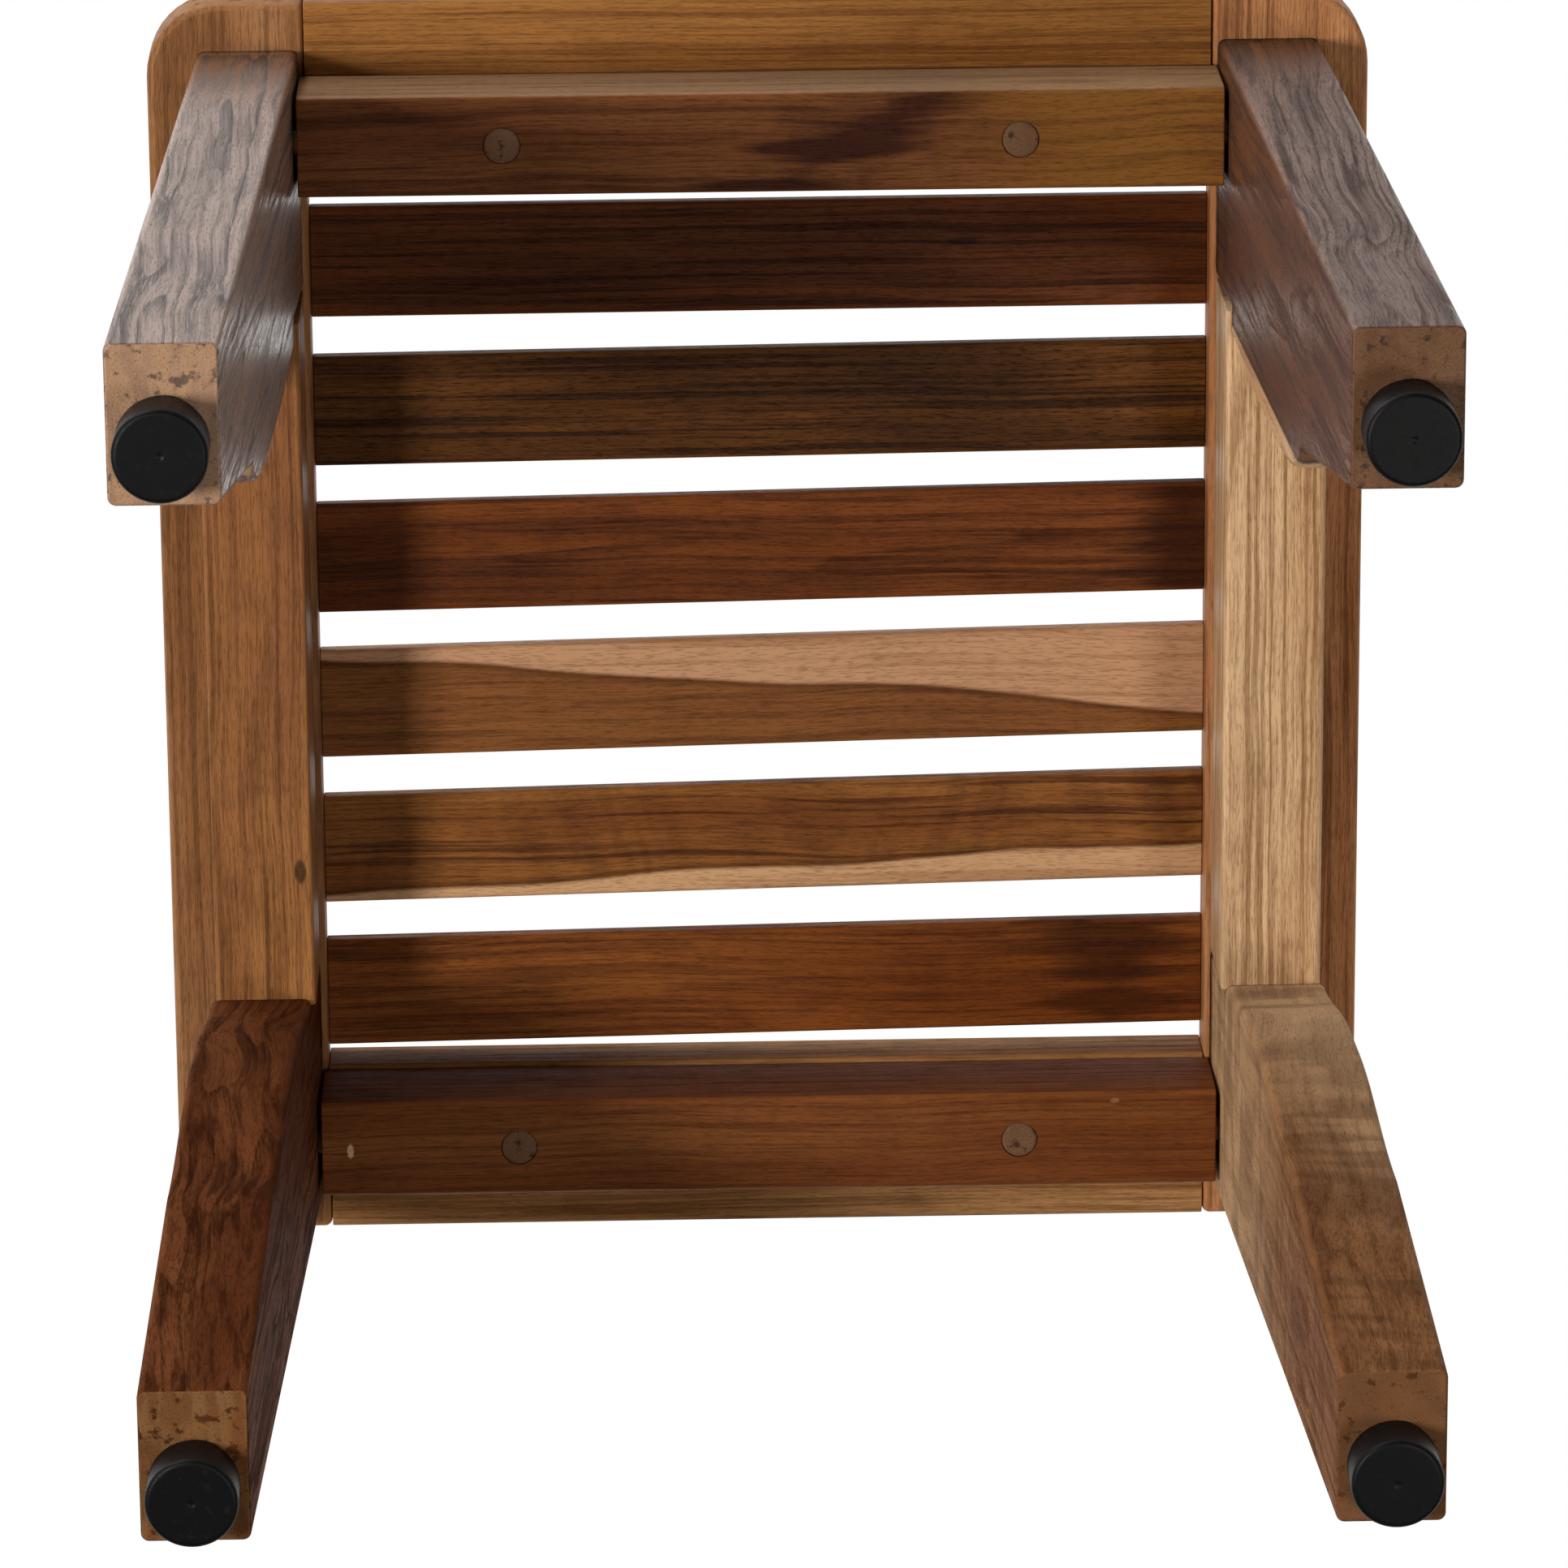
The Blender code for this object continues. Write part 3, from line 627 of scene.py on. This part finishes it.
def drill(obj, places, radius, depth):
    """Cut shallow round sockets into the underside of a board."""
    bm = bmesh.new()
    for x, y, z in places:
        bmesh.ops.create_cone(bm, cap_ends=True, segments=PLUG_SIDES, radius1=radius, radius2=radius,
                              depth=2 * depth, matrix=Matrix.Translation((x, y, z)))
    mesh = bpy.data.meshes.new(obj.name + "_sockets")
    bm.to_mesh(mesh)
    bm.free()
    cutter = bpy.data.objects.new(obj.name + "_sockets", mesh)
    scene.collection.objects.link(cutter)
    cutter.hide_render = True
    cutter.hide_viewport = True
    obj.modifiers.clear()
    modifier = obj.modifiers.new("sockets", "BOOLEAN")
    modifier.operation = "DIFFERENCE"
    modifier.solver = "EXACT"
    modifier.object = cutter
    bpy.context.view_layer.update()
    evaluated = obj.evaluated_get(bpy.context.evaluated_depsgraph_get())
    cut_mesh = bpy.data.meshes.new_from_object(evaluated)
    obj.modifiers.clear()
    obj.data = cut_mesh
    bpy.data.objects.remove(cutter)
    obj.data.shade_smooth()
    obj.data.set_sharp_from_angle(angle=math.radians(50))
    shade_evenly(obj)


def make_end_apron(end, material, plug_material):
    node = "end_apron_" + end
    low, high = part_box(node)
    high.z += JOINT_GAP
    apron = straight_board(node + "_board", low, high, "x", APRON_EDGE, END_APRON_END_ROUNDING)
    plugs = ["screw_plug_%s_%s" % (end, side) for side in ("left", "right")]
    places = []
    for plug in plugs:
        plug_low, plug_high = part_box(plug)
        places.append(((plug_low.x + plug_high.x) / 2, (plug_low.y + plug_high.y) / 2, low.z))
    radius = (plug_high.x - plug_low.x) / 2
    drill(apron, places, radius + PLUG_CLEARANCE, PLUG_SOCKET_DEPTH)
    add_piece(apron, [node], STOOL, material)
    for plug, (x, y, z) in zip(plugs, places):
        # A sanded plug whose face lies a tenth of a millimetre inside its socket, and its rim deeper.
        profile = [(0, 0.0001), (radius * 0.75, 0.00012), (radius - 0.0004, 0.00022),
                   (radius, 0.0006), (radius, 0.0015), (0, 0.0015)]
        made = turned(plug + "_disc", profile, (x, y, z), PLUG_SIDES)
        add_piece(made, [plug], STOOL, plug_material)


def make_side_apron(side, material):
    node = "side_apron_" + side
    low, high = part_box(node)
    high.z += JOINT_GAP
    apron = straight_board(node + "_board", low, high, "y", APRON_EDGE, SIDE_APRON_END_ROUNDING)
    add_piece(apron, [node], STOOL, material)


def make_aprons():
    front_low, front_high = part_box("end_apron_front")
    span = front_high.x - front_low.x
    zigzag = (front_low.x + 0.60 * span, 0.035)
    slant = 1.7
    slanted_middle = zigzag[0] + slant * (front_low.y + front_high.y) / 2
    dark_patch = (slanted_middle, 0.026, "#38160b", 0.9, slant)
    pale_end = (front_high.x - 0.030, 0.060, "#96642c", 0.85, 0.0)
    filled_chip = (-0.1406, 0.172, 0.0011, 0.0026, "#e2bda0", 0.9)
    small_chip = (0.116, 0.158, 0.0016, 0.0010, "#a97c58", 0.6)
    plug = teak(
        "teak_plug", "z", "#75543a", "#40281a", "#876448", seed=31, line_strength=0.5, sway=0.001,
        end="#7d5c44")
    make_end_apron("front", teak(
        "teak_apron_front", "x", "#6c3b1c", "#331508", "#83502a", seed=11, line_density=0.9,
        line_strength=0.5, sway=0.005, figure=0.35, figure_place=zigzag,
        # Painted sheen: the faces towards the front are painted paler and greyer.
        zones=(dark_patch, pale_end), front_sheen=("#a58463", 0.75)), plug)
    make_end_apron("rear", teak(
        "teak_apron_rear", "x", "#7c4520", "#4c230c", "#8d552b", seed=12, line_density=1.2,
        line_strength=0.45, sway=0.003, marks=(filled_chip, small_chip)), plug)
    joint_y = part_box("side_apron_right")[1].y
    knot = (joint_y * 0.60, -0.1545, 0.0042, 0.0020, "#3a2214", 0.8)
    dark_end = (joint_y, 0.167, 0.0012, 0.03, "#2c1a10", 0.8)
    make_side_apron("left", teak(
        "teak_apron_left", "y", "#94603a", "#52301a", "#a5703f", seed=13, line_strength=0.55,
        sway=0.003, arches=0.4, marks=(knot,)))
    make_side_apron("right", teak(
        "teak_apron_right", "y", "#d6ac80", "#8a5e38", "#e0ba90", seed=14, line_density=0.9,
        line_strength=0.65, arches=0.5, marks=(dark_end,)))


# ---------------------------------------------------------------- legs

def level_range(node, z, tolerance):
    """Lowest and highest y of a CAD node's points near a level."""
    places = [v.co.y for v in NODES[node].data.vertices if abs(v.co.z - z) < tolerance]
    return min(places), max(places)


def make_leg(corner, material):
    """One leg with its shoulder strip, as a single smooth body."""
    node, strip = "leg_" + corner, "leg_strip_" + corner
    side = "left" if corner.endswith("left") else "right"
    sx = -1 if side == "left" else 1
    sy = -1 if corner.startswith("front") else 1
    low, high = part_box(node)
    strip_low, strip_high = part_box(strip)
    apron_low, apron_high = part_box("side_apron_" + side)
    top_z, foot_z = high.z, low.z
    thickness = apron_high.x - apron_low.x
    top_outer_x = apron_high.x if sx > 0 else -apron_low.x
    foot_outer_x = high.x if sx > 0 else -low.x
    splay = foot_outer_x - top_outer_x
    top_outer_y = high.y if sy > 0 else -low.y
    top_inner_y = low.y if sy > 0 else -high.y
    foot_low_y, foot_high_y = level_range(node, foot_z, 0.0002)
    foot_outer_y = (foot_high_y if sy > 0 else -foot_low_y) + LEG_EDGE
    foot_inner_y = (foot_low_y if sy > 0 else -foot_high_y) - LEG_EDGE
    strip_inner_y = strip_low.y if sy > 0 else -strip_high.y
    strip_top, strip_bottom = strip_high.z, strip_low.z
    strip_length = strip_top - strip_bottom
    strip_round = strip_bottom + (0.34 if sy < 0 else 0.50) * strip_length
    swell = 0.36 * strip_length

    def across(z, inset):
        """Lowest and highest x of the leg at a level."""
        part = (top_z - z) / (top_z - foot_z)
        outer = top_outer_x + splay * part - inset
        inner = top_outer_x + splay * part - thickness + inset
        return (sx * inner, sx * outer) if sx > 0 else (sx * outer, sx * inner)

    def depth(z):
        """Outer and inner y of the leg at a level, for a leg on the +Y side."""
        part = (top_z - z) / (top_z - foot_z)
        outer = top_outer_y + (foot_outer_y - top_outer_y) * part
        inner = top_inner_y
        if z < strip_bottom:
            below = (strip_bottom - z) / (strip_bottom - foot_z)
            inner = top_inner_y + (foot_inner_y - top_inner_y) * below
        elif z < strip_top:
            reach = top_inner_y - strip_inner_y
            turn = max(0.0, (strip_round - z) / (strip_round - strip_bottom))
            rise = math.sin(min(1.0, (strip_top - z) / swell) * math.pi / 2) ** 2
            if sy < 0:
                reach *= (0.66 + 0.34 * rise) * math.sqrt(max(0.0, 1 - turn ** 2.2))
            else:
                reach *= (0.20 + 0.58 * rise) * (0.5 + 0.5 * math.cos(math.pi * turn))
            inner = top_inner_y - reach
        return outer, inner

    def station(z, inset=0.0):
        x0, x1 = across(z, inset)
        outer, inner = depth(z)
        outer -= inset
        inner += inset
        y0, y1 = (inner, outer) if sy > 0 else (-outer, -inner)
        radius = max(LEG_EDGE - inset, 0.2 * LEG_EDGE)
        return (z, x0, x1, y0, y1, radius, radius)

    above_steps = 4
    swell_steps = 8
    bend_steps = 16
    below_steps = 10
    levels = [top_z + 0.0002]
    for step in range(1, above_steps):
        levels.append(top_z - (top_z - strip_top) * step / above_steps)
    # The step at the strip's top lies between two close levels.
    levels += [strip_top + 0.0004, strip_top - 0.0001, strip_top - 0.0012]
    for step in range(1, swell_steps + 1):
        levels.append(strip_top - (strip_top - strip_round) * step / swell_steps)
    for step in range(1, bend_steps + 1):
        turn = math.sin(math.pi / 2 * step / bend_steps)
        levels.append(strip_round - (strip_round - strip_bottom) * turn)
    for step in range(1, below_steps):
        levels.append(strip_bottom - (strip_bottom - foot_z) * step / below_steps)
    stations = [station(z) for z in levels]
    for along, inset in reversed(end_rounding(LEG_END_ROUNDING)):
        stations.append(station(foot_z + 0.00006 + along, inset))
    stations.sort(key=lambda s: -s[0])
    obj = sweep("leg_%s_shaped" % corner, stations, "z")
    return add_piece(obj, [node, strip], STOOL, material)


def make_legs():
    strip_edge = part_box("leg_front_right")[1].y + 0.0045
    make_leg("front_left", teak(
        "teak_leg_front_left", "z", "#84604a", "#2e1a10", "#9a7560", seed=21, line_density=0.8,
        line_strength=0.45, sway=0.009, end="#a9815e", gloss=0.85, roughness=0.25, arches=0.9,
        arch_count=10.0))
    make_leg("front_right", teak(
        "teak_leg_front_right", "z", "#5e3721", "#341d12", "#6e452c", seed=22, line_density=0.6,
        line_strength=0.6, sway=0.010, sap=(strip_edge, 0.0, 1, "#cfa172", 0.0), end="#6f4e33",
        gloss=0.30, roughness=0.36, arches=0.5, arch_count=12.0))
    make_leg("rear_left", teak(
        "teak_leg_rear_left", "z", "#5a2e14", "#2c1206", "#6f3f20", seed=23, line_density=0.5,
        line_strength=0.65, sway=0.012, end="#7d5a3a", gloss=0.02, roughness=0.6, arches=0.6,
        arch_count=11.0))
    make_leg("rear_right", teak(
        "teak_leg_rear_right", "z", "#7a4e30", "#4a2a16", "#8e623e", seed=24, line_density=0.6,
        line_strength=0.35, sway=0.010, figure=0.35, end="#6e4d34", gloss=0.03, roughness=0.6,
        # The zone is painted light: the upper part of the leg's face is painted pale where the front
        # light falls.
        arches=0.3, arch_count=7.0, zones=((0.70, 0.24, "#c8a27a", 0.95, 2.0),)))


# ---------------------------------------------------------------- feet and hidden fastenings

def rubber_material():
    g = Graph("rubber_black")
    coordinates = g.node("ShaderNodeTexCoord")
    dust = g.noise(coordinates.outputs["Object"], 260.0, 3.0, 0.6)
    grain = g.noise(coordinates.outputs["Object"], 2600.0, 2.0, 0.5)
    scuff = g.ramp(dust, 0.56, 0.78)
    color = g.mix(g.times(scuff, 0.5),
                  (0.0022, 0.0022, 0.0030, 1.0), (0.0075, 0.0072, 0.0075, 1.0))
    g.link(color, g.shader.inputs["Base Color"])
    rough = g.plus(0.42, g.times(scuff, 0.25))
    rough = g.plus(rough, g.times(grain, 0.08))
    g.link(rough, g.shader.inputs["Roughness"])
    g.shader.inputs["IOR"].default_value = 1.45
    g.shader.inputs["Specular IOR Level"].default_value = 0.18
    g.link(g.bump(grain, 0.00008, 0.6), g.shader.inputs["Normal"])
    return g.material


def metal_material(name, color, shade, roughness):
    g = Graph(name)
    coordinates = g.node("ShaderNodeTexCoord")
    patches = g.noise(coordinates.outputs["Object"], 420.0, 3.0, 0.6)
    turning = g.node("ShaderNodeSeparateXYZ")
    g.link(coordinates.outputs["Object"], turning.inputs[0])
    rings = g.math("SINE", g.times(turning.outputs[2], 2 * math.pi / 0.00125))
    patched = g.mix(g.ramp(patches, 0.35, 0.7), (*color, 1.0), (*shade, 1.0))
    g.link(patched, g.shader.inputs["Base Color"])
    g.shader.inputs["Metallic"].default_value = 1.0
    g.link(g.plus(roughness, g.times(patches, 0.15)), g.shader.inputs["Roughness"])
    g.link(g.bump(rings, 0.00025, 0.8), g.shader.inputs["Normal"])
    return g.material


def make_feet():
    """The four rubber pads, each with a hole for its stud."""
    rim_steps = 6
    top_steps = 4
    rubber = rubber_material()
    for corner in CORNERS:
        node = "foot_pad_" + corner
        low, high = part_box(node)
        radius = (high.x - low.x) / 2
        centre = ((low.x + high.x) / 2, (low.y + high.y) / 2, low.z)
        height = high.z - low.z
        hole_top = (STUD_HOLE_RADIUS + STUD_HOLE_BEVEL, height)
        hole_rim = (STUD_HOLE_RADIUS, height - STUD_HOLE_BEVEL)
        hole_floor = height - STUD_HOLE_DEPTH
        # A small dimple in the middle, the flat sole, then its rounded rim.
        profile = [(0, 0.0004), (0.0010, 0.0003), (0.0015, 0.0)]
        profile += [(radius * 0.55, 0.0), (radius - PAD_EDGE - 0.0004, 0.0)]
        for step in range(rim_steps + 1):
            turn = math.pi / 2 * step / rim_steps
            profile.append((radius - PAD_EDGE + PAD_EDGE * math.sin(turn),
                            PAD_EDGE - PAD_EDGE * math.cos(turn)))
        # The wall draws in by a fifth of a millimetre, and its top edge is rounded half as much.
        profile.append((radius - 0.0002, height * 0.5))
        for step in range(top_steps + 1):
            turn = math.pi / 2 * step / top_steps
            profile.append((radius - 0.0002 - PAD_EDGE * 0.5 * (1 - math.cos(turn)),
                            height - PAD_EDGE * 0.5 * (1 - math.sin(turn))))
        profile += [hole_top, hole_rim, (STUD_HOLE_RADIUS, hole_floor), (0, hole_floor)]
        pad = turned(node + "_moulded", profile, centre, PAD_SIDES)
        pad.data.set_sharp_from_angle(angle=math.radians(50))
        add_piece(pad, [node], "foot_" + corner, rubber)


def finish_hidden_nodes():
    """Give the fastenings that stay as CAD nodes their own materials and smooth shading."""
    steel = metal_material("steel_zinc", (0.52, 0.53, 0.55), (0.40, 0.41, 0.42), 0.30)
    brass = metal_material("brass_turned", (0.62, 0.45, 0.19), (0.50, 0.34, 0.13), 0.28)
    beech = teak(
        "beech_dowel", "z", "#c9a77c", "#a5835c", "#d8bb94", seed=41, line_density=1.2,
        line_strength=0.4, sway=0.001)
    chosen = (("seat_screw_", steel), ("foot_stud_", steel), ("foot_insert_", brass), ("dowel_", beech))
    for name, obj in NODES.items():
        for prefix, material in chosen:
            if name.startswith(prefix):
                paint(obj, material)
                obj.data.shade_smooth()
                obj.data.set_sharp_from_angle(angle=math.radians(40))


# ---------------------------------------------------------------- studio

FLOOR_SIZE = 5.0
FLOOR_FADE = (0.55, 1.9)
LENS = 186.3
SENSOR_WIDTH = 36.0
CAMERA_PLACE = (-0.0539, -0.7343, -2.2404)
CAMERA_FORWARD = (0.0222, 0.2900, 0.9568)
CAMERA_UP = (0.0143, -0.9570, 0.2897)


def make_floor():
    """A pale floor that fades into the white, and that the view from below passes through."""
    bpy.ops.mesh.primitive_plane_add(size=FLOOR_SIZE, location=(0, 0, cad_low.z - 0.0002))
    floor = bpy.context.object
    floor.name = "studio_floor"
    g = Graph("studio_floor_paint")
    geometry = g.node("ShaderNodeNewGeometry")
    clear = g.node("ShaderNodeBsdfTransparent")
    chosen = g.node("ShaderNodeMixShader")
    coordinates = g.node("ShaderNodeTexCoord")
    length = g.node("ShaderNodeVectorMath", operation="LENGTH")
    g.link(coordinates.outputs["Object"], length.inputs[0])
    fading = g.ramp(length.outputs["Value"], *FLOOR_FADE)
    g.shader.inputs["Base Color"].default_value = (0.90, 0.90, 0.895, 1.0)
    g.shader.inputs["Roughness"].default_value = 0.8
    g.link(g.math("MAXIMUM", geometry.outputs["Backfacing"], fading), chosen.inputs[0])
    g.link(g.shader.outputs[0], chosen.inputs[1])
    g.link(clear.outputs[0], chosen.inputs[2])
    g.link(chosen.outputs[0], g.tree.nodes["Material Output"].inputs["Surface"])
    paint(floor, g.material)
    floor.visible_diffuse = False
    floor.visible_glossy = False
    floor.visible_transmission = False
    floor.visible_shadow = False


def make_world():
    """White all round to the eye, but it lights the stool from above far more than from below."""
    world = bpy.data.worlds.new("studio_world")
    world.use_nodes = True
    scene.world = world
    tree = world.node_tree
    background = tree.nodes["Background"]
    coordinates = tree.nodes.new("ShaderNodeTexCoord")
    parts = tree.nodes.new("ShaderNodeSeparateXYZ")
    tree.links.new(coordinates.outputs["Generated"], parts.inputs[0])
    dimming = tree.nodes.new("ShaderNodeMapRange")
    dimming.interpolation_type = "SMOOTHSTEP"
    dimming.inputs["From Min"].default_value = -0.30
    dimming.inputs["From Max"].default_value = 0.55
    dimming.inputs["To Min"].default_value = 0.05
    dimming.inputs["To Max"].default_value = 1.0
    tree.links.new(parts.outputs["Z"], dimming.inputs["Value"])
    path = tree.nodes.new("ShaderNodeLightPath")
    seen = tree.nodes.new("ShaderNodeMath")
    seen.operation = "MAXIMUM"
    tree.links.new(dimming.outputs["Result"], seen.inputs[0])
    tree.links.new(path.outputs["Is Camera Ray"], seen.inputs[1])
    background.inputs["Color"].default_value = (1.0, 1.0, 1.0, 1.0)
    tree.links.new(seen.outputs[0], background.inputs["Strength"])


def add_soft_light(name, location, target, size, power, color=(1.0, 1.0, 1.0)):
    light = bpy.data.lights.new(name, "AREA")
    light.shape = "SQUARE"
    light.size = size
    light.energy = power
    light.color = color
    lamp = bpy.data.objects.new(name, light)
    scene.collection.objects.link(lamp)
    lamp.location = location
    lamp.rotation_euler = (Vector(target) - Vector(location)).to_track_quat("-Z", "Y").to_euler()
    lamp.visible_camera = False


def make_lights():
    middle = Vector((0.0, 0.0, cad_high.z))
    warm = (1.0, 0.95, 0.88)
    add_soft_light("soft_from_below_left", (-1.45, -0.30, -1.75), middle, 0.45, 46.0, warm)
    add_soft_light("soft_from_below_right", (0.95, 0.25, -1.95), middle, 0.45, 15.0, warm)
    add_soft_light("soft_from_front_left", (-1.3, -2.3, 0.15), middle, 0.8, 24.0)
    add_soft_light("soft_from_above", (-1.4, -1.6, 2.3), middle, 1.2, 12.0, (1.0, 0.98, 0.96))


def make_camera():
    """A long lens from below and in front, square to the seat but for a small roll."""
    data = bpy.data.cameras.new("camera")
    camera = bpy.data.objects.new("camera", data)
    scene.collection.objects.link(camera)
    data.lens = LENS
    data.sensor_width = SENSOR_WIDTH
    data.clip_start = 0.1
    data.clip_end = 20.0
    forward = Vector(CAMERA_FORWARD).normalized()
    up = Vector(CAMERA_UP)
    right = forward.cross(up).normalized()
    up = right.cross(forward)
    turn = Matrix((right, up, -forward)).transposed()
    camera.matrix_world = Matrix.Translation(CAMERA_PLACE) @ turn.to_4x4()
    scene.camera = camera


scene.view_settings.view_transform = "Standard"
scene.view_settings.look = "None"
make_seat()
make_aprons()
make_legs()
make_feet()
finish_hidden_nodes()
make_floor()
make_world()
make_lights()
make_camera()
